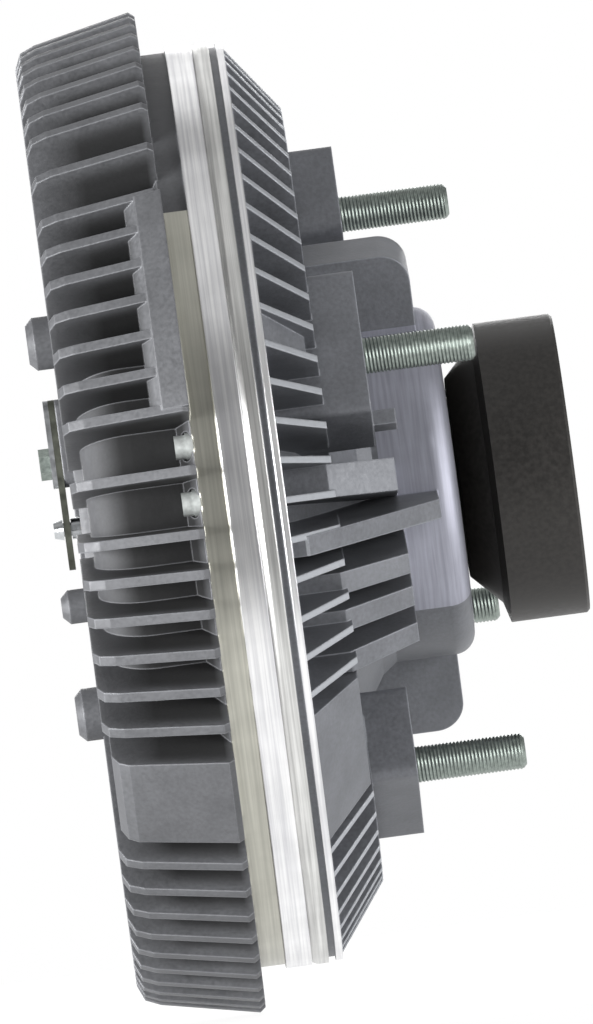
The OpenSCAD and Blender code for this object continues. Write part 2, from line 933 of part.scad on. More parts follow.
module drive_shaft() {
    edge = 0.8;
    drive_r = drive_d / 2;
    color(drive_black)
        on_axis()
            difference() {
                rotate_extrude()
                    polygon([
                        [0, rotor_front_z + face_gap],
                        [nut_thread_d / 2, rotor_front_z + face_gap],
                        [nut_thread_d / 2, nut_floor_z + face_gap],
                        [seat_d / 2, nut_floor_z + face_gap],
                        [seat_d / 2, bearing_front_z],
                        [bearing_bore / 2, bearing_front_z],
                        [bearing_bore / 2, bearing_back_z],
                        [neck_d / 2, bearing_back_z],
                        [neck_d / 2, cone_z],
                        [cone_d / 2, cone_z],
                        [drive_r - bevel_w, bevel_z],
                        [drive_r, drive_z],
                        [drive_r, drive_face_z - edge],
                        [drive_r - edge, drive_face_z],
                        [pilot_d / 2, drive_face_z],
                        [pilot_d / 2, drive_face_z - pilot_depth],
                        [0, drive_face_z - pilot_depth]
                    ]);
                for (i = [0:drive_holes - 1])
                    rotate([0, 0, 360 / drive_holes * i])
                        translate([drive_pcd / 2, 0, drive_face_z - drive_hole_depth])
                            cylinder(d = drive_hole_d, h = drive_hole_depth + cut_past);
            }
}

counterbore_r = nut_thread_d * 0.86;
washer_play = 1;
nut_play = 1.2;

module rotor() {
    land_pitch = 2 * (land_t + land_gap);
    hole_r = rotor_hub_d / 2 + rotor_hole_d * 2;
    color(turned_silver)
        on_axis()
            difference() {
                rotate_extrude() {
                    polygon([
                        [seat_d / 2, nut_floor_z],
                        [counterbore_r, nut_floor_z],
                        [counterbore_r, rotor_front_z],
                        [rotor_r, rotor_front_z],
                        [rotor_r, rotor_back_z],
                        [rotor_hub_d / 2, rotor_back_z],
                        [rotor_hub_d / 2, chamber_z],
                        [inner_ring_r, bearing_front_z],
                        [seat_d / 2, bearing_front_z]
                    ]);
                    for (i = [0:land_count - 1])
                        translate([rotor_r - land_t - i * land_pitch, rotor_back_z - cut_past])
                            square([land_t, land_h + cut_past]);
                }
                for (i = [0:rotor_holes - 1])
                    rotate([0, 0, 360 / rotor_holes * i])
                        translate([hole_r, 0, rotor_front_z - cut_past])
                            cylinder(d = rotor_hole_d, h = rotor_web + 2 * cut_past);
            }
}

module rotor_washer() {
    color(bright_steel)
        on_axis()
            tube(
                nut_thread_d / 2 + hole_play, counterbore_r - washer_play,
                nut_floor_z - washer_t, nut_floor_z
            );
}

module rotor_nut() {
    color(steel_grey)
        on_axis()
            translate([0, 0, rotor_front_z])
                difference() {
                    cylinder(r = counterbore_r - nut_play, h = nut_h, $fn = 6);
                    translate([0, 0, -cut_past])
                        cylinder(d = nut_thread_d, h = nut_h + 2 * cut_past);
                }
}

// Bearing

module ring_section(r_in, r_out) {
    difference() {
        translate([r_in, bearing_front_z])
            square([r_out - r_in, bearing_w]);
        for (z = rows)
            translate([pitch_r, z])
                circle(track_r);
    }
}

module bearing_inner_ring() {
    color(bright_steel)
        on_axis()
            rotate_extrude()
                ring_section(bearing_bore / 2, inner_ring_r);
}

module bearing_outer_ring() {
    color(bright_steel)
        on_axis()
            rotate_extrude()
                ring_section(outer_ring_r, bearing_r);
}

module ball_places() {
    for (z = rows, i = [0:ball_count - 1])
        rotate([0, 0, 360 / ball_count * i])
            translate([pitch_r, 0, z])
                children();
}

module bearing_balls() {
    color(bright_steel)
        on_axis()
            ball_places()
                sphere(r = ball_r);
}

// Crown cage: one ring between the two rows, with open pockets on both sides
module bearing_cage() {
    half_t = ball_r * 0.22;
    half_w = (row_pitch + ball_r) / 2;
    color(bronze)
        on_axis()
            difference() {
                tube(pitch_r - half_t, pitch_r + half_t, bearing_mid_z - half_w, bearing_mid_z + half_w);
                ball_places()
                    sphere(r = track_r);
            }
}

module bearing_shields() {
    inset = 0.3;
    gap = 0.15;
    color(rubber_black)
        on_axis()
            for (z = [bearing_front_z + inset, bearing_back_z - inset - shield_t])
                tube(inner_ring_r + gap, outer_ring_r, z, z + shield_t);
}

module bearing_circlip() {
    width = 3;
    opening = 30;
    color(steel_grey)
        on_axis()
            sector(opening / 2, 360 - opening / 2)
                translate([bearing_r - width, circlip_z])
                    square([width + circlip_bite, circlip_t]);
}

module shaft_seal() {
    lip = 1.6;
    seal_gap = 0.05;
    seal_end_z = hub_z - 0.5;
    color(rubber_black)
        on_axis()
            rotate_extrude()
                polygon([
                    [neck_d / 2 + seal_gap, seal_z],
                    [bearing_r, seal_z],
                    [bearing_r, seal_end_z],
                    [bearing_r - lip, seal_end_z],
                    [bearing_r - 2 * lip, seal_z + lip],
                    [neck_d / 2 + 2 * lip, seal_z + lip],
                    [neck_d / 2 + seal_gap, seal_z + 2 * lip]
                ]);
}

// Divider plate and valve

divider_play = 0.3;
divider_r = chamber_r - divider_play;
divider_screw_r = chamber_r - divider_seat / 2;
divider_bite = 8;
divider_head_d = divider_screw_d * 1.9;

module divider_plate() {
    color(steel_grey)
        on_axis()
            difference() {
                translate([0, 0, divider_front_z])
                    cylinder(r = divider_r, h = divider_t);
                for (i = [0:divider_screw_count - 1])
                    rotate([0, 0, 360 / divider_screw_count * i])
                        translate([divider_screw_r, 0, divider_front_z])
                            countersink();
                translate([-port_r, 0, divider_front_z - cut_past])
                    cylinder(d = port_d, h = divider_t + 2 * cut_past);
                translate([rivet_r, 0, divider_front_z - cut_past])
                    cylinder(d = rivet_d, h = divider_t + 2 * cut_past);
            }
}

// Conical seat through the plate for a flush screw
module countersink() {
    translate([0, 0, -cut_past])
        cylinder(d = divider_screw_d, h = divider_t + cut_past);
    cylinder(d1 = divider_screw_d, d2 = divider_head_d, h = divider_t);
}

module divider_screws() {
    color(bright_steel)
        on_axis()
            for (i = [0:divider_screw_count - 1])
                rotate([0, 0, 360 / divider_screw_count * i])
                    translate([divider_screw_r, 0, divider_front_z]) {
                        cylinder(d1 = divider_screw_d, d2 = divider_head_d, h = divider_t);
                        translate([0, 0, -divider_bite])
                            cylinder(d = divider_screw_d, h = divider_bite);
                    }
}

lever_back_z = divider_front_z - lever_gap;
lever_front_z = lever_back_z - lever_t;
lever_play = 0.7;

module valve_lever() {
    color(bright_steel)
        on_axis()
            translate([0, 0, lever_front_z])
                linear_extrude(height = lever_t)
                    difference() {
                        union() {
                            translate([-port_r, -lever_w / 2])
                                square([port_r + rivet_r, lever_w]);
                            translate([-port_r, 0])
                                circle(d = lever_w);
                            translate([rivet_r, 0])
                                circle(d = lever_w);
                        }
                        translate([rivet_r, 0])
                            circle(d = rivet_d + 2 * hole_play);
                    }
}

module valve_rivet() {
    head_z = lever_front_z - lever_play;
    head_h = rivet_d * 0.3;
    head_front_d = rivet_d * 1.3;
    head_back_d = rivet_d * 1.7;
    color(steel_grey)
        on_axis()
            translate([rivet_r, 0, 0]) {
                translate([0, 0, head_z])
                    cylinder(d = rivet_d, h = divider_z - head_z);
                translate([0, 0, head_z - head_h])
                    cylinder(d1 = head_front_d, d2 = head_back_d, h = head_h);
            }
}

// Bimetal control

pin_neck_d = pin_d * 0.66;
pin_tip_z = lever_front_z - lever_gap;
pin_head_h = 2.6;

module control_pin() {
    tip = pin_d * 0.2;
    head_front_d = pin_d * 0.75;
    color(bright_steel)
        on_axis() {
            translate([0, 0, pin_tip_z - tip])
                cylinder(d1 = pin_d, d2 = pin_d - 2 * tip, h = tip);
            translate([0, 0, strip_back_z + hole_play])
                cylinder(d = pin_d, h = pin_tip_z - tip - strip_back_z - hole_play);
            translate([0, 0, strip_front_z - hole_play])
                cylinder(d = pin_neck_d, h = strip_t + 2 * hole_play);
            translate([0, 0, strip_front_z - hole_play - pin_head_h])
                cylinder(d1 = head_front_d, d2 = pin_d, h = pin_head_h);
        }
}

module guide_bush() {
    color(bronze)
        on_axis()
            tube(pin_d / 2 + pin_gap, bush_d / 2, plateau_z, guide_z - seal_pocket);
}

module pin_seal() {
    color(rubber_black)
        on_axis()
            tube(pin_d / 2 + pin_gap, bush_d / 2, guide_z - seal_pocket, guide_z);
}

module bimetal_strip() {
    color(bimetal_grey)
        on_axis()
            translate([(strip_down - strip_up) / 2, 0, strip_front_z])
                linear_extrude(height = strip_t)
                    difference() {
                        rounded_rect([strip_up + strip_down, strip_w], strip_round);
                        translate([(strip_up - strip_down) / 2, 0])
                            circle(d = pin_neck_d + 2 * hole_play);
                        translate([(strip_up - strip_down) / 2 - clamp_r, 0])
                            circle(d = clamp_screw_d);
                    }
}

module clamp_plate() {
    color(steel_grey)
        on_axis()
            translate([-clamp_mid, 0, clamp_front_z])
                linear_extrude(height = clamp_t)
                    difference() {
                        rounded_rect([clamp_len, strip_w], strip_round);
                        translate([clamp_mid - clamp_r, 0])
                            circle(d = clamp_screw_d);
                    }
}

module bimetal_screw() {
    head_h = clamp_screw_d * 0.6;
    head_d = clamp_screw_d * 1.75;
    floor_t = 2;
    color(zinc_grey)
        on_axis()
            translate([-clamp_r, 0, clamp_front_z]) {
                translate([0, 0, -head_h])
                    cylinder(d = head_d, h = head_h, $fn = 6);
                cylinder(d = clamp_screw_d, h = clamp_t + strip_t + strip_stand + front_wall - floor_t);
            }
}

front_cover();
rear_housing();
cover_screws();
cover_seal();
fan_studs();
drive_shaft();
rotor();
rotor_washer();
rotor_nut();
bearing_inner_ring();
bearing_outer_ring();
bearing_balls();
bearing_cage();
bearing_shields();
bearing_circlip();
shaft_seal();
divider_plate();
divider_screws();
valve_lever();
valve_rivet();
control_pin();
guide_bush();
pin_seal();
bimetal_strip();
clamp_plate();
bimetal_screw();
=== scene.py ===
import json
import math
from collections import namedtuple

import bmesh
import bpy
from mathutils import Matrix, Vector


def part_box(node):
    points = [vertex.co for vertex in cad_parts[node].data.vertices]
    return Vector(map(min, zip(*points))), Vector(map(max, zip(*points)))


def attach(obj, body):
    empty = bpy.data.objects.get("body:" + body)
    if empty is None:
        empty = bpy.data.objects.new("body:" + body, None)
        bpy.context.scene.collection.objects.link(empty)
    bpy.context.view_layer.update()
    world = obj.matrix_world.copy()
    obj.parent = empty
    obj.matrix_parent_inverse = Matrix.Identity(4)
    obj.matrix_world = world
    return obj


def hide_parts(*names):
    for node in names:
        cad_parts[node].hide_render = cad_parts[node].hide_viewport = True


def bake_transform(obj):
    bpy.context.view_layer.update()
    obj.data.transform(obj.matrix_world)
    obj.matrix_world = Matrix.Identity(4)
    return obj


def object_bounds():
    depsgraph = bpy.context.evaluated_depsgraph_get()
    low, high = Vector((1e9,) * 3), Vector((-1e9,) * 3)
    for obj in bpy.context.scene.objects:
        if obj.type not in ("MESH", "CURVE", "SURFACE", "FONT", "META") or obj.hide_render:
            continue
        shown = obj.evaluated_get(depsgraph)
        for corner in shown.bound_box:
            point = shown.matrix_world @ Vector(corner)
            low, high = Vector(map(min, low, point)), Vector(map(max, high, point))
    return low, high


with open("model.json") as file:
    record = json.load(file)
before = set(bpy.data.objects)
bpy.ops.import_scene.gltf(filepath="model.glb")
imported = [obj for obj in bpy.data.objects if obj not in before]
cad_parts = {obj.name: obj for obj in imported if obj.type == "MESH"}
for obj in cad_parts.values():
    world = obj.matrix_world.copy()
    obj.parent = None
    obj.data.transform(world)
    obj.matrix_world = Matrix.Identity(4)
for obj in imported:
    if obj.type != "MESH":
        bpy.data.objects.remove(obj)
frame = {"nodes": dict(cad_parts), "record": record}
CAD_BOX = [list(corner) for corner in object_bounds()]
NODES = frame["nodes"]
MOUNTS = {mount["name"]: mount for mount in frame["record"]["mounts"]}

bl_info = {
    "name": "Viscous Fan Clutch",
    "version": (1, 0, 0),
    "blender": (4, 5, 0),
    "location": "View3D > Sidebar > Fan Clutch",
    "description": "Dresses a finned viscous fan clutch and sets its studio",
    "category": "Object",
}

MM = 0.001

# Stations and radii, read from the frame
JOINT_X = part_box("front_cover")[1].x
STUD_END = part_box("fan_studs")[1].x
STUD_CIRCLE_R = MOUNTS["fan_studs"]["dims"]["pcd_mm"] / 2 * MM
STUD_R = MOUNTS["fan_studs"]["dims"]["stud_r_mm"] * MM
STUD_COUNT = MOUNTS["fan_studs"]["dims"]["count"]

# Radial depth of the turned bands, and the fall of the cover's fin tips for each unit of length
BAND_DEPTH = 6 * MM
FIN_DRAFT = 0.21

# A turned band: its stations, inner radius and finish, and the clock angles where the band is left out
Band = namedtuple("Band", "low high inner finish rough streaks cast", defaults=(None,))


def colour(name, description, default):
    """A colour property that starts from an sRGB hex value."""
    return bpy.props.FloatVectorProperty(
        name=name,
        description=description,
        subtype="COLOR",
        size=3,
        min=0.0,
        max=1.0,
        default=linear(default),
    )


def length(name, description, default):
    """A length property in metres."""
    return bpy.props.FloatProperty(
        name=name,
        description=description,
        default=default,
        min=0.0,
        unit="LENGTH",
        precision=5,
    )


def linear(hex_code):
    """An sRGB hex value as linear red, green and blue."""
    parts = [int(hex_code[i : i + 2], 16) / 255 for i in (1, 3, 5)]
    return tuple(c / 12.92 if c <= 0.04045 else ((c + 0.055) / 1.055) ** 2.4 for c in parts)


class ClutchFinishes(bpy.types.PropertyGroup):
    """Colours of the clutch's finishes."""

    cover_cast: colour("Cover casting", "As-cast skin of the front cover", "#616265")
    housing_cast: colour("Housing casting", "As-cast skin of the rear housing", "#797b80")
    turned_ring: colour("Turned ring", "Freshly turned aluminium of the cover's ring", "#f2f2f5")
    housing_ring: colour("Housing ring", "Older turned aluminium of the housing's ring", "#d8d8d6")
    turned_hub: colour("Turned hub", "Turned and dulled outside of the hub", "#b0b1bc")
    fin_edge: colour("Fin edge", "Turned edges of the rear fins", "#b4b7bc")
    dull_land: colour("Dull land", "Dull machined land beside the joint ring", "#bcbbb1")
    zinc: colour("Zinc plate", "Passivated zinc on the studs", "#949d97")
    screw_zinc: colour("Screw zinc", "Dull zinc on the cover screws", "#c6cac8")
    drive_black: colour("Drive black", "Phosphated and oiled drive end", "#353331")
    steel: colour("Steel", "Plain steel of screws and plates", "#a6a8aa")
    bearing_steel: colour("Bearing steel", "Ground steel of the bearing and the pin", "#c3c6c8")
    bronze: colour("Bronze", "Cage and guide bush", "#a98246")
    rubber: colour("Rubber", "Seals and shields", "#1d1d1e")
    bimetal: colour("Bimetal", "Heat stained strip on the front", "#55574f")


class ClutchSizes(bpy.types.PropertyGroup):
    """Sizes of the details that the scene adds."""

    thread_pitch: length("Thread pitch", "Pitch of the stud threads", 1.0 * MM)
    thread_depth: length("Thread depth", "Depth of the stud threads", 0.3 * MM)
    stud_length: length("Stud length", "Free length of a stud behind its seat", 30.4 * MM)
    stud_root: length("Stud root", "Diameter of the stud's end in its boss", 11.4 * MM)
    stud_grip: length("Stud grip", "Depth of a stud in its boss", 18 * MM)
    stud_clock: bpy.props.FloatProperty(
        name="Stud clock",
        description="Clock angle of the first stud, from the side at -Y and positive downwards",
        subtype="ANGLE",
        default=math.radians(-25.2),
    )
    edge_round: length("Edge round", "Rounding that the cast edges show", 0.7 * MM)


class ClutchStudio(bpy.types.PropertyGroup):
    """Camera of the studio."""

    distance: length("Camera distance", "From the camera to the clutch axis", 5.8)
    view_height: length("View height", "Height of the view at the clutch axis", 0.2836)
    azimuth: bpy.props.FloatProperty(
        name="Azimuth",
        description="Turn of the camera round the clutch",
        subtype="ANGLE",
        default=math.radians(-0.5),
    )
    roll: bpy.props.FloatProperty(
        name="Roll",
        description="Roll of the camera",
        subtype="ANGLE",
        default=math.radians(7.56),
    )
    aim: bpy.props.FloatVectorProperty(
        name="Aim",
        description="Point in the middle of the view",
        subtype="TRANSLATION",
        unit="LENGTH",
        default=(-0.077, 0.0, -0.0036),
    )


def add(tree, kind, inputs=None, **settings):
    """Adds a node, with its settings, values and links."""
    node = tree.nodes.new(kind)
    for name, value in settings.items():
        setattr(node, name, value)
    for name, value in (inputs or {}).items():
        if isinstance(value, bpy.types.NodeSocket):
            tree.links.new(value, node.inputs[name])
        else:
            node.inputs[name].default_value = value
    return node


def rgba(rgb, gain=1.0):
    """A linear colour with full opacity, made lighter or darker by a gain."""
    return (*(min(1.0, c * gain) for c in rgb), 1.0)


def new_material(name):
    """A material with its tree and its Principled shader."""
    material = bpy.data.materials.new(name)
    material.use_nodes = True
    return material, material.node_tree, material.node_tree.nodes["Principled BSDF"]


def cast_places(tree):
    """Position in a casting, with its station, its radius and its clock angle, positive upwards."""
    position = add(tree, "ShaderNodeTexCoord").outputs["Object"]
    along, side, height = add(tree, "ShaderNodeSeparateXYZ", {0: position}).outputs
    across = add(tree, "ShaderNodeCombineXYZ", {1: side, 2: height})
    radius = add(tree, "ShaderNodeVectorMath", {0: across.outputs[0]}, operation="LENGTH")
    near = add(tree, "ShaderNodeMath", {0: side, 1: -1.0}, operation="MULTIPLY")
    clock = add(tree, "ShaderNodeMath", {0: height, 1: near.outputs[0]}, operation="ARCTAN2")
    return position, along, radius.outputs["Value"], clock.outputs[0]


def dust_and_shade_share(tree, along, radius, deepest_dust_and_shade):
    """Share of colour left by dusty oil and painted shade: 1 on the fin tips, down to the darkest painted
    shade deep between the fins.
    """
    # The painted shade and the dust fade out towards the front of the gaps, where light reaches in
    front = add(
        tree,
        "ShaderNodeMapRange",
        {0: along, 1: JOINT_X - 48 * MM, 2: JOINT_X - 34 * MM, 3: 1.0, 4: deepest_dust_and_shade},
    )
    # Lighter again at the land beside the ring
    land_lift = add(
        tree,
        "ShaderNodeMapRange",
        {0: along, 1: JOINT_X - 17 * MM, 2: JOINT_X - 14.6 * MM, 3: 0.0, 4: 0.8},
    )
    deepest_by_station = add(tree, "ShaderNodeMath", {0: front.outputs[0], 1: land_lift.outputs[0]}, operation="MAXIMUM")
    # Radius as it would be at the rear end of the fins, whose tips fall towards the front
    levelled = add(
        tree, "ShaderNodeMath", {0: along, 1: -FIN_DRAFT, 2: radius}, operation="MULTIPLY_ADD"
    )
    fin_end = FIN_DRAFT * (JOINT_X - 14.3 * MM)
    reach = add(
        tree,
        "ShaderNodeMapRange",
        {0: levelled.outputs[0], 1: 131.5 * MM - fin_end, 2: 138.8 * MM - fin_end},
    )
    swept = add(tree, "ShaderNodeMath", {0: reach.outputs[0], 1: 3.0}, operation="POWER")
    share = add(tree, "ShaderNodeMapRange", {0: swept.outputs[0], 3: deepest_by_station.outputs[0], 4: 1.0})
    return share.outputs[0]


def rubbed_and_highlit_edges(tree, edge_round):
    """Normal with rounded edges, and how far edges are made bright, as rubbed metal and as painted
    highlight: where it leaves the flat one.
    """
    rounded = add(tree, "ShaderNodeBevel", {"Radius": edge_round}, samples=6).outputs[0]
    flat = add(tree, "ShaderNodeNewGeometry").outputs["Normal"]
    turn = add(tree, "ShaderNodeVectorMath", {0: rounded, 1: flat}, operation="DOT_PRODUCT")
    rub_and_highlight = add(
        tree, "ShaderNodeMapRange", {0: turn.outputs["Value"], 1: 0.995, 2: 0.8, 3: 0.0, 4: 0.75}
    )
    return rounded, rub_and_highlight.outputs[0]


def fin_edge_mask(tree, along, radius, outer, inner):
    """Marks the turned cone through an outer and an inner point, each a station and a radius."""
    (outer_x, outer_r), (inner_x, inner_r) = outer, inner
    run = math.hypot(inner_x - outer_x, inner_r - outer_r)
    slope = ((outer_r - inner_r) / run, (inner_x - outer_x) / run)
    level = outer_r * slope[1] + outer_x * slope[0]
    rise = add(tree, "ShaderNodeMath", {0: along, 1: slope[0]}, operation="MULTIPLY").outputs[0]
    cone = add(
        tree, "ShaderNodeMath", {0: radius, 1: slope[1], 2: rise}, operation="MULTIPLY_ADD"
    ).outputs[0]
    on_cone = add(
        tree, "ShaderNodeMath", {0: cone, 1: level, 2: 0.25 * MM}, operation="COMPARE"
    ).outputs[0]
    below = add(
        tree, "ShaderNodeMath", {0: along, 1: inner_x + 0.1 * MM}, operation="LESS_THAN"
    ).outputs[0]
    return add(tree, "ShaderNodeMath", {0: on_cone, 1: below}, operation="MULTIPLY").outputs[0]


def band_mask(tree, along, radius, clock, band):
    """Marks a turned band, without the clock angles where it is left out."""
    spans = (
        (along, (band.low + band.high) / 2, (band.high - band.low) / 2),
        (radius, band.inner + BAND_DEPTH / 2, BAND_DEPTH / 2),
    )
    mask = 1.0
    for value, middle, half in spans:
        inside = add(
            tree, "ShaderNodeMath", {0: value, 1: middle, 2: half}, operation="COMPARE"
        ).outputs[0]
        mask = add(tree, "ShaderNodeMath", {0: inside, 1: mask}, operation="MULTIPLY").outputs[0]
    if band.cast:
        middle, half = (band.cast[0] + band.cast[1]) / 2, (band.cast[1] - band.cast[0]) / 2
        cast = add(
            tree, "ShaderNodeMath", {0: clock, 1: middle, 2: half}, operation="COMPARE"
        ).outputs[0]
        mask = add(
            tree, "ShaderNodeMath", {0: mask, 1: cast}, operation="SUBTRACT", use_clamp=True
        ).outputs[0]
    return mask


def paint_cast_skin(tree, shader, base, size, bands, deepest_dust_and_shade=1.0, edges=None):
    """Gives a shader the skin of a casting, edges rubbed bright with a painted highlight, painted shade with
    dusty oil between the fins, and its turned bands and fin edges.
    """
    position, along, radius, clock = cast_places(tree)

    # Skin of the die: grains of about 1 mm, and flow marks of about 12 mm
    grain = add(
        tree, "ShaderNodeTexNoise", {"Vector": position, "Scale": 1 / (1.1 * MM), "Detail": 3.0}
    ).outputs["Fac"]
    flow = add(
        tree, "ShaderNodeTexNoise", {"Vector": position, "Scale": 1 / (12 * MM), "Detail": 4.0}
    ).outputs["Fac"]
    tint = add(tree, "ShaderNodeValToRGB", {"Fac": flow})
    tint.color_ramp.elements[0].position = 0.32
    tint.color_ramp.elements[0].color = rgba(base, 0.88)
    tint.color_ramp.elements[1].position = 0.7
    tint.color_ramp.elements[1].color = rgba(base, 1.1)

    # Painted shade deep between the fins, with oily dust, and specks as fine as the grain
    clear_of_dust_and_shade = dust_and_shade_share(tree, along, radius, deepest_dust_and_shade)
    speck = add(tree, "ShaderNodeMapRange", {0: grain, 1: 0.3, 2: 0.7, 3: 0.86, 4: 1.12})
    dust_and_shade = add(tree, "ShaderNodeMath", {0: clear_of_dust_and_shade, 1: speck.outputs[0]}, operation="MULTIPLY")
    skin = add(
        tree,
        "ShaderNodeMix",
        {0: 1.0, 6: tint.outputs[0], 7: dust_and_shade.outputs[0]},
        data_type="RGBA",
        blend_type="MULTIPLY",
    )
    # Edges lightened up to 2.4 times the base: rubbed metal and painted highlight
    rounded, rub_and_highlight = rubbed_and_highlit_edges(tree, size.edge_round)
    paint = add(
        tree, "ShaderNodeMix", {0: rub_and_highlight, 6: skin.outputs[2], 7: rgba(base, 2.4)}, data_type="RGBA"
    ).outputs[2]
    gloss = add(tree, "ShaderNodeMapRange", {0: grain, 1: 0.3, 2: 0.7, 3: 0.42, 4: 0.6})
    # The painted shade and dust also make the gaps rougher and less metallic
    rough = add(tree, "ShaderNodeMix", {0: clear_of_dust_and_shade, 2: 0.9, 3: gloss.outputs[0]}).outputs[0]
    metal = add(tree, "ShaderNodeMath", {0: clear_of_dust_and_shade, 1: 0.3}, operation="MULTIPLY").outputs[0]
    sand = 0.5

    # Turned edges of the rear fins
    if edges:
        outer, inner, finish = edges
        mask = fin_edge_mask(tree, along, radius, outer, inner)
        paint = add(
            tree, "ShaderNodeMix", {0: mask, 6: paint, 7: rgba(finish)}, data_type="RGBA"
        ).outputs[2]
        metal = add(tree, "ShaderNodeMix", {0: mask, 2: metal, 3: 0.6}).outputs[0]

    # Rings left by the turning tool, drawn 0.9 mm wide so that they show, and stains about 12 mm wide
    unrolled = add(tree, "ShaderNodeCombineXYZ", {0: along, 1: clock}).outputs[0]
    lathe = add(
        tree, "ShaderNodeVectorMath", {0: unrolled, 1: (1 / (0.9 * MM), 2.0, 0.0)}, operation="MULTIPLY"
    ).outputs[0]
    streak = add(tree, "ShaderNodeTexNoise", {"Vector": lathe, "Scale": 1.0, "Detail": 3.0}).outputs["Fac"]
    blotch = add(tree, "ShaderNodeMapRange", {0: flow, 1: 0.35, 2: 0.65, 3: 0.9, 4: 1.0}).outputs[0]
    for band in bands:
        mask = band_mask(tree, along, radius, clock, band)
        shade = add(tree, "ShaderNodeValToRGB", {"Fac": streak})
        shade.color_ramp.elements[0].position = 0.35
        shade.color_ramp.elements[0].color = rgba(band.finish, 1 - band.streaks)
        shade.color_ramp.elements[1].position = 0.65
        shade.color_ramp.elements[1].color = rgba(band.finish, 1 + band.streaks)
        stain = add(
            tree,
            "ShaderNodeMix",
            {0: 1.0, 6: shade.outputs[0], 7: blotch},
            data_type="RGBA",
            blend_type="MULTIPLY",
        ).outputs[2]
        paint = add(tree, "ShaderNodeMix", {0: mask, 6: paint, 7: stain}, data_type="RGBA").outputs[2]
        metal = add(tree, "ShaderNodeMix", {0: mask, 2: metal, 3: 1.0}).outputs[0]
        rough = add(tree, "ShaderNodeMix", {0: mask, 2: rough, 3: band.rough}).outputs[0]
        sand = add(tree, "ShaderNodeMix", {0: mask, 2: sand, 3: 0.06}).outputs[0]

    relief = add(
        tree,
        "ShaderNodeBump",
        {"Strength": sand, "Distance": 0.12 * MM, "Height": grain, "Normal": rounded},
    )
    tree.links.new(paint, shader.inputs["Base Color"])
    tree.links.new(metal, shader.inputs["Metallic"])
    tree.links.new(rough, shader.inputs["Roughness"])
    tree.links.new(relief.outputs[0], shader.inputs["Normal"])


def cover_cast_material(look, size):
    """Die-cast aluminium, as cast: dull grey with soft bright edges, partly rubbed metal and partly painted
    highlight. The ring is turned bright.
    """
    material, tree, shader = new_material("cast_aluminium_cover")
    land_x, ring_x, joint_x = JOINT_X - 14.4 * MM, JOINT_X - 7.3 * MM, JOINT_X + MM
    inner = 126.8 * MM
    # The dull land is left out at the top, where the cover's casting colour shows
    top = (math.radians(40), math.radians(140))
    bands = (
        Band(land_x, ring_x, inner, look.dull_land, rough=0.36, streaks=0.12, cast=top),
        Band(ring_x, joint_x, inner, look.turned_ring, rough=0.3, streaks=0.18),
    )
    # Painted shade and oily dust darken the gaps between the fins to a tenth
    paint_cast_skin(tree, shader, look.cover_cast, size, bands, deepest_dust_and_shade=0.1)
    return material


def housing_cast_material(look, size):
    """Die-cast aluminium, lighter and bluer than the cover. Its ring and rim are turned bright."""
    material, tree, shader = new_material("cast_aluminium_housing")
    joint_x, groove_x = JOINT_X - MM, JOINT_X + 4.7 * MM
    rim_x, wall_x = JOINT_X + 6.7 * MM, JOINT_X + 8.8 * MM
    hub_x, hub_end_x = JOINT_X + 36 * MM, JOINT_X + 57 * MM
    # Painted shade: the turned hub is left out at the bottom, so the darker casting colour shows there
    shaded_bottom = (math.radians(-134), math.radians(-46))
    bands = (
        Band(joint_x, groove_x, 127.2 * MM, look.housing_ring, rough=0.36, streaks=0.22),
        Band(rim_x, wall_x, 127.5 * MM, look.turned_ring, rough=0.35, streaks=0.15),
        Band(hub_x, hub_end_x, 44 * MM, look.turned_hub, rough=0.6, streaks=0.1, cast=shaded_bottom),
    )
    fin_foot = (JOINT_X + 7.7 * MM, 127.8 * MM)
    fin_top = (JOINT_X + 22.5 * MM, 108 * MM)
    edges = (fin_foot, fin_top, look.fin_edge)
    paint_cast_skin(tree, shader, look.housing_cast, size, bands, edges=edges)
    return material


def metal_material(name, base, rough, metallic, grain_mm, mottle):
    """A plain finish with a fine mottle in colour and gloss."""
    material, tree, shader = new_material(name)
    position = add(tree, "ShaderNodeTexCoord").outputs["Object"]
    noise = add(
        tree, "ShaderNodeTexNoise", {"Vector": position, "Scale": 1 / (grain_mm * MM), "Detail": 4.0}
    )
    tint = add(tree, "ShaderNodeValToRGB", {"Fac": noise.outputs["Fac"]})
    tint.color_ramp.elements[0].position = 0.35
    tint.color_ramp.elements[0].color = rgba(base, 1 - mottle)
    tint.color_ramp.elements[1].position = 0.68
    tint.color_ramp.elements[1].color = rgba(base, 1 + mottle)
    gloss = add(
        tree,
        "ShaderNodeMapRange",
        {0: noise.outputs["Fac"], 1: 0.3, 2: 0.7, 3: rough - 0.06, 4: rough + 0.06},
    )
    bump = add(
        tree,
        "ShaderNodeBump",
        {"Height": noise.outputs["Fac"], "Strength": 0.15, "Distance": 0.05 * MM},
    )
    tree.links.new(tint.outputs["Color"], shader.inputs["Base Color"])
    tree.links.new(gloss.outputs[0], shader.inputs["Roughness"])
    tree.links.new(bump.outputs[0], shader.inputs["Normal"])
    shader.inputs["Metallic"].default_value = metallic
    return material


def dress(node, material):
    """Gives a CAD node one material in place of its own."""
    piece = NODES[node]
    piece.data.materials.clear()
    piece.data.materials.append(material)


def clock_point(along, radius, clock):
    """A point at a station, a radius and a clock angle."""
    return Vector((along, -radius * math.cos(clock), -radius * math.sin(clock)))


class CLUTCH_OT_castings(bpy.types.Operator):
    """Gives the two castings their skin and turned rings"""

    bl_idname = "clutch.castings"
    bl_label = "Dress Castings"

    def execute(self, context):
        look, size = context.scene.clutch_finishes, context.scene.clutch_sizes
        dress("front_cover", cover_cast_material(look, size))
        dress("rear_housing", housing_cast_material(look, size))
        return {"FINISHED"}


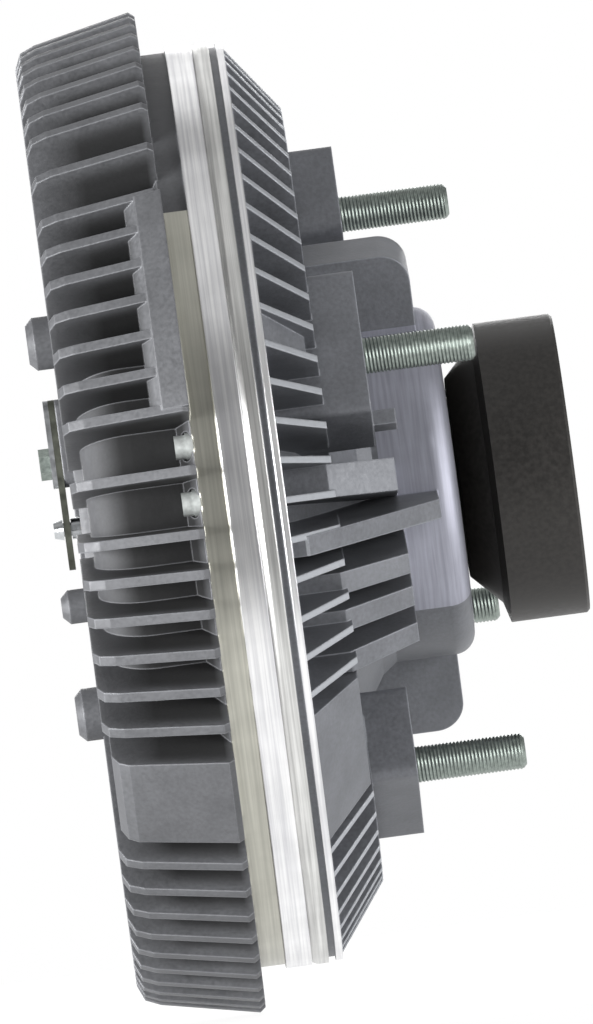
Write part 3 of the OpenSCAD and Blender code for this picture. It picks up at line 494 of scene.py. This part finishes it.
class CLUTCH_OT_drive(bpy.types.Operator):
    """Gives the drive end its phosphate"""

    bl_idname = "clutch.drive"
    bl_label = "Dress Drive End"

    def execute(self, context):
        look = context.scene.clutch_finishes
        # Phosphated and oiled steel: a dark, warm, half-matt skin
        phosphate = metal_material(
            "phosphated_steel", look.drive_black, rough=0.5, metallic=0.3, grain_mm=1.4, mottle=0.25
        )
        dress("drive_shaft", phosphate)
        return {"FINISHED"}


class CLUTCH_OT_inner(bpy.types.Operator):
    """Gives the bearing, the rotor, the valve, the screws and the seals their finishes"""

    bl_idname = "clutch.inner"
    bl_label = "Dress Inner Pieces"

    def execute(self, context):
        look = context.scene.clutch_finishes
        # Turned aluminium: bright and fine grained
        turned = metal_material(
            "turned_aluminium", look.turned_ring, rough=0.35, metallic=1.0, grain_mm=0.8, mottle=0.1
        )
        # Plain rolled and drawn steel: grey with a faint mottle
        steel = metal_material(
            "plain_steel", look.steel, rough=0.38, metallic=1.0, grain_mm=2.0, mottle=0.12
        )
        # Ground bearing steel: bright and even
        ground = metal_material(
            "ground_steel", look.bearing_steel, rough=0.2, metallic=1.0, grain_mm=1.0, mottle=0.05
        )
        # Zinc plate gone dull: pale and half matt
        dull_zinc = metal_material(
            "dull_zinc_plate", look.screw_zinc, rough=0.45, metallic=0.5, grain_mm=1.2, mottle=0.12
        )
        # Machined bronze: warm with a soft gloss
        bronze = metal_material(
            "machined_bronze", look.bronze, rough=0.35, metallic=1.0, grain_mm=1.5, mottle=0.12
        )
        # Moulded rubber: black and dull
        rubber = metal_material(
            "moulded_rubber", look.rubber, rough=0.75, metallic=0.0, grain_mm=1.2, mottle=0.2
        )
        groups = (
            (turned, ("rotor",)),
            (
                steel,
                (
                    "rotor_washer",
                    "rotor_nut",
                    "bearing_circlip",
                    "divider_plate",
                    "divider_screws",
                    "valve_lever",
                    "valve_rivet",
                    "clamp_plate",
                ),
            ),
            (ground, ("bearing_inner_ring", "bearing_outer_ring", "bearing_balls", "control_pin")),
            (dull_zinc, ("cover_screws",)),
            (bronze, ("bearing_cage", "guide_bush")),
            (rubber, ("cover_seal", "bearing_shields", "shaft_seal", "pin_seal")),
        )
        for material, nodes in groups:
            for node in nodes:
                dress(node, material)
        return {"FINISHED"}


class CLUTCH_OT_studs(bpy.types.Operator):
    """Cuts the fan studs with a real thread"""

    bl_idname = "clutch.studs"
    bl_label = "Thread Fan Studs"

    def execute(self, context):
        look, size = context.scene.clutch_finishes, context.scene.clutch_sizes
        # Zinc plate with a passivated skin: grey with a green cast
        zinc = metal_material(
            "zinc_plate", look.zinc, rough=0.4, metallic=0.9, grain_mm=1.2, mottle=0.2
        )
        dress("bimetal_screw", zinc)
        mesh = bpy.data.meshes.new("fan_studs_threaded")
        shape = bmesh.new()
        for index in range(STUD_COUNT):
            clock = size.stud_clock + math.tau / STUD_COUNT * index
            seat = clock_point(STUD_END - size.stud_length, STUD_CIRCLE_R, clock)
            self.cut_stud(shape, seat, size)
        shape.to_mesh(mesh)
        shape.free()
        mesh.materials.append(zinc)
        piece = bpy.data.objects.new("fan_studs_threaded", mesh)
        context.scene.collection.objects.link(piece)
        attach(piece, "housing")
        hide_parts("fan_studs")
        return {"FINISHED"}

    def cut_stud(self, shape, seat, size):
        """One stud: a plain grip in its boss, then a thread with a chamfered end."""
        around = 40
        per_pitch = 8
        shoulder = 0.01 * MM
        step = size.thread_pitch / per_pitch
        count = round(size.stud_length / step)
        stations = [-size.stud_grip, -shoulder]
        stations += [i * step for i in range(count)] + [size.stud_length]
        rings = []
        for along in stations:
            ring = []
            for j in range(around):
                angle = math.tau * j / around
                radius = self.thread_radius(along, angle, size)
                point = Vector((along, radius * math.cos(angle), radius * math.sin(angle)))
                ring.append(shape.verts.new(seat + point))
            rings.append(ring)
        for low, high in zip(rings, rings[1:]):
            for j in range(around):
                k = (j + 1) % around
                face = shape.faces.new((low[j], low[k], high[k], high[j]))
                face.smooth = True
        shape.faces.new(list(reversed(rings[0])))
        shape.faces.new(rings[-1])

    def thread_radius(self, along, angle, size):
        """Radius of a metric thread at a station and an angle, inside the end chamfer."""
        if along < 0:
            return size.stud_root / 2
        flank, root = 1.35, 0.12
        chamfer = 1.2 * MM
        phase = (along / size.thread_pitch - angle / math.tau) % 1.0
        rise = abs(2 * phase - 1)
        crest = min(1.0, max(0.0, rise * flank - root))
        runout = min(1.0, along / size.thread_pitch)
        radius = STUD_R - size.thread_depth * (1 - crest) * runout
        end = STUD_R - chamfer + max(0.0, size.stud_length - along)
        return min(radius, end)


class CLUTCH_OT_strip(bpy.types.Operator):
    """Replaces the bimetal strip by a copy with 23 level cuts across its height"""

    bl_idname = "clutch.strip"
    bl_label = "Bend Bimetal Strip"

    def execute(self, context):
        look = context.scene.clutch_finishes
        # Rolled bimetal, stained by heat: dark olive grey
        stained = metal_material(
            "heat_stained_bimetal", look.bimetal, rough=0.45, metallic=0.8, grain_mm=3.0, mottle=0.3
        )
        mesh = NODES["bimetal_strip"].data.copy()
        mesh.name = "bimetal_strip_bending"
        shape = bmesh.new()
        shape.from_mesh(mesh)
        low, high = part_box("bimetal_strip")
        cuts = 24
        for i in range(1, cuts):
            bmesh.ops.bisect_plane(
                shape,
                geom=list(shape.verts) + list(shape.edges) + list(shape.faces),
                plane_co=(0, 0, low.z + (high.z - low.z) * i / cuts),
                plane_no=(0, 0, 1),
            )
        shape.to_mesh(mesh)
        shape.free()
        mesh.materials.clear()
        mesh.materials.append(stained)
        piece = bpy.data.objects.new("bimetal_strip_bending", mesh)
        context.scene.collection.objects.link(piece)
        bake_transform(piece)
        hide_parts("bimetal_strip")
        return {"FINISHED"}


class CLUTCH_OT_stage(bpy.types.Operator):
    """Sets the floor, the lights, the world and the camera"""

    bl_idname = "clutch.stage"
    bl_label = "Set Stage"

    def execute(self, context):
        self.lay_floor(context)
        self.set_world(context)
        self.hang_lights(context)
        self.place_camera(context)
        context.scene.view_settings.view_transform = "Standard"
        return {"FINISHED"}

    def lay_floor(self, context):
        """A pale floor under the clutch. It keeps the shadow, and goes to white for the camera."""
        half_depth, stretch = 0.6, 2
        # The sheet ends 0.2 m in front of the clutch, so that its ring mirrors the darker room there
        shift, below = 0.24, 0.5 * MM
        mesh = bpy.data.meshes.new("studio_floor")
        shape = bmesh.new()
        bmesh.ops.create_grid(shape, x_segments=1, y_segments=1, size=half_depth)
        bmesh.ops.scale(shape, verts=shape.verts, vec=(stretch, 1, 1))
        bmesh.ops.translate(shape, verts=shape.verts, vec=(0, shift, CAD_BOX[0][2] - below))
        shape.to_mesh(mesh)
        shape.free()
        floor = bpy.data.objects.new("studio_floor", mesh)
        context.scene.collection.objects.link(floor)
        material, tree, shader = new_material("pale_paper")
        shader.inputs["Base Color"].default_value = rgba(linear("#e2e2e2"))
        shader.inputs["Roughness"].default_value = 0.9
        # How white the sheet is to the camera and in the metal, where the rest is lit paper with its shadow
        white, camera_share, mirror_share = 1.18, 0.75, 0.85
        path = add(tree, "ShaderNodeLightPath")
        glow = add(tree, "ShaderNodeEmission", {"Strength": white})
        seen = add(
            tree, "ShaderNodeMath", {0: path.outputs["Is Camera Ray"], 1: camera_share}, operation="MULTIPLY"
        )
        shine = add(
            tree, "ShaderNodeMath", {0: path.outputs["Is Glossy Ray"], 1: mirror_share}, operation="MULTIPLY"
        )
        share = add(tree, "ShaderNodeMath", {0: seen.outputs[0], 1: shine.outputs[0]}, operation="MAXIMUM")
        mix = add(
            tree,
            "ShaderNodeMixShader",
            {0: share.outputs[0], 1: shader.outputs[0], 2: glow.outputs[0]},
        )
        tree.links.new(mix.outputs[0], tree.nodes["Material Output"].inputs["Surface"])
        mesh.materials.append(material)

    def set_world(self, context):
        """White to the camera, softer as light."""
        room_light, white = 0.28, 1.0
        world = bpy.data.worlds.new("studio_world")
        context.scene.world = world
        world.use_nodes = True
        tree = world.node_tree
        path = add(tree, "ShaderNodeLightPath")
        seen = add(
            tree,
            "ShaderNodeMath",
            {0: path.outputs["Is Camera Ray"], 1: path.outputs["Is Transmission Ray"]},
            operation="MAXIMUM",
        )
        strength = add(
            tree, "ShaderNodeMapRange", {"Value": seen.outputs[0], "To Min": room_light, "To Max": white}
        )
        background = tree.nodes["Background"]
        background.inputs["Color"].default_value = (1, 1, 1, 1)
        tree.links.new(strength.outputs[0], background.inputs["Strength"])

    def hang_lights(self, context):
        """Soft boxes above, in front of, behind and beyond the clutch."""
        middle = Vector((-0.075, 0, 0))
        # Name, place, width and depth in metres, and watts
        boxes = (
            ("top_box", (-0.15, -0.5, 1.3), 1.4, 1.4, 2.4),
            ("back_box", (-0.1, 0.9, 1.0), 1.0, 1.0, 2.4),
            ("front_box", (-1.4, -0.5, 0.12), 1.0, 0.5, 12),
            ("low_box", (-1.1, -0.75, 0.0), 0.9, 0.5, 24),
            ("rear_box", (1.3, -0.9, 0.1), 0.8, 0.8, 18),
            ("far_box", (-0.1, 1.6, 0.25), 1.2, 0.7, 14),
        )
        for name, place, width, depth, watts in boxes:
            light = bpy.data.lights.new(name, "AREA")
            light.shape = "RECTANGLE"
            light.size = width
            light.size_y = depth
            light.energy = watts
            lamp = bpy.data.objects.new(name, light)
            lamp.location = place
            aim = middle - Vector(place)
            lamp.rotation_euler = aim.to_track_quat("-Z", "Y").to_euler()
            context.scene.collection.objects.link(lamp)

    def place_camera(self, context):
        """A long lens at the photograph's side view, rolled as the clutch lies in it."""
        studio = context.scene.clutch_studio
        lens = bpy.data.cameras.new("studio_camera")
        lens.sensor_fit = "VERTICAL"
        lens.sensor_height = 24.0
        lens.lens = lens.sensor_height * studio.distance / studio.view_height
        lens.clip_end = 50.0
        camera = bpy.data.objects.new("studio_camera", lens)
        look = Vector((-math.sin(studio.azimuth), math.cos(studio.azimuth), 0))
        right = look.cross(Vector((0, 0, 1)))
        turn = Matrix((right, Vector((0, 0, 1)), -look)).transposed().to_4x4()
        place = Matrix.Translation(Vector(studio.aim) - look * studio.distance)
        camera.matrix_world = place @ turn @ Matrix.Rotation(-studio.roll, 4, "Z")
        context.scene.collection.objects.link(camera)
        context.scene.camera = camera


class CLUTCH_PT_panel(bpy.types.Panel):
    """Lists the clutch's sizes, finishes and steps"""

    bl_idname = "CLUTCH_PT_panel"
    bl_label = "Fan Clutch"
    bl_space_type = "VIEW_3D"
    bl_region_type = "UI"
    bl_category = "Fan Clutch"

    def draw(self, context):
        for group in (
            context.scene.clutch_sizes,
            context.scene.clutch_finishes,
            context.scene.clutch_studio,
        ):
            column = self.layout.column(align=True)
            for name in group.__annotations__:
                column.prop(group, name)
        column = self.layout.column(align=True)
        for step in STEPS:
            column.operator(step.bl_idname)


GROUPS = (ClutchFinishes, ClutchSizes, ClutchStudio)
STEPS = (
    CLUTCH_OT_castings,
    CLUTCH_OT_drive,
    CLUTCH_OT_inner,
    CLUTCH_OT_studs,
    CLUTCH_OT_strip,
    CLUTCH_OT_stage,
)
CLASSES = GROUPS + STEPS + (CLUTCH_PT_panel,)


def register():
    for item in CLASSES:
        bpy.utils.register_class(item)
    bpy.types.Scene.clutch_finishes = bpy.props.PointerProperty(type=ClutchFinishes)
    bpy.types.Scene.clutch_sizes = bpy.props.PointerProperty(type=ClutchSizes)
    bpy.types.Scene.clutch_studio = bpy.props.PointerProperty(type=ClutchStudio)


def unregister():
    del bpy.types.Scene.clutch_studio
    del bpy.types.Scene.clutch_sizes
    del bpy.types.Scene.clutch_finishes
    for item in reversed(CLASSES):
        bpy.utils.unregister_class(item)


def main():
    register()
    bpy.ops.clutch.stage()
    bpy.ops.clutch.castings()
    bpy.ops.clutch.drive()
    bpy.ops.clutch.inner()
    bpy.ops.clutch.studs()
    bpy.ops.clutch.strip()
    bpy.context.view_layer.update()


if __name__ == "__main__":
    main()
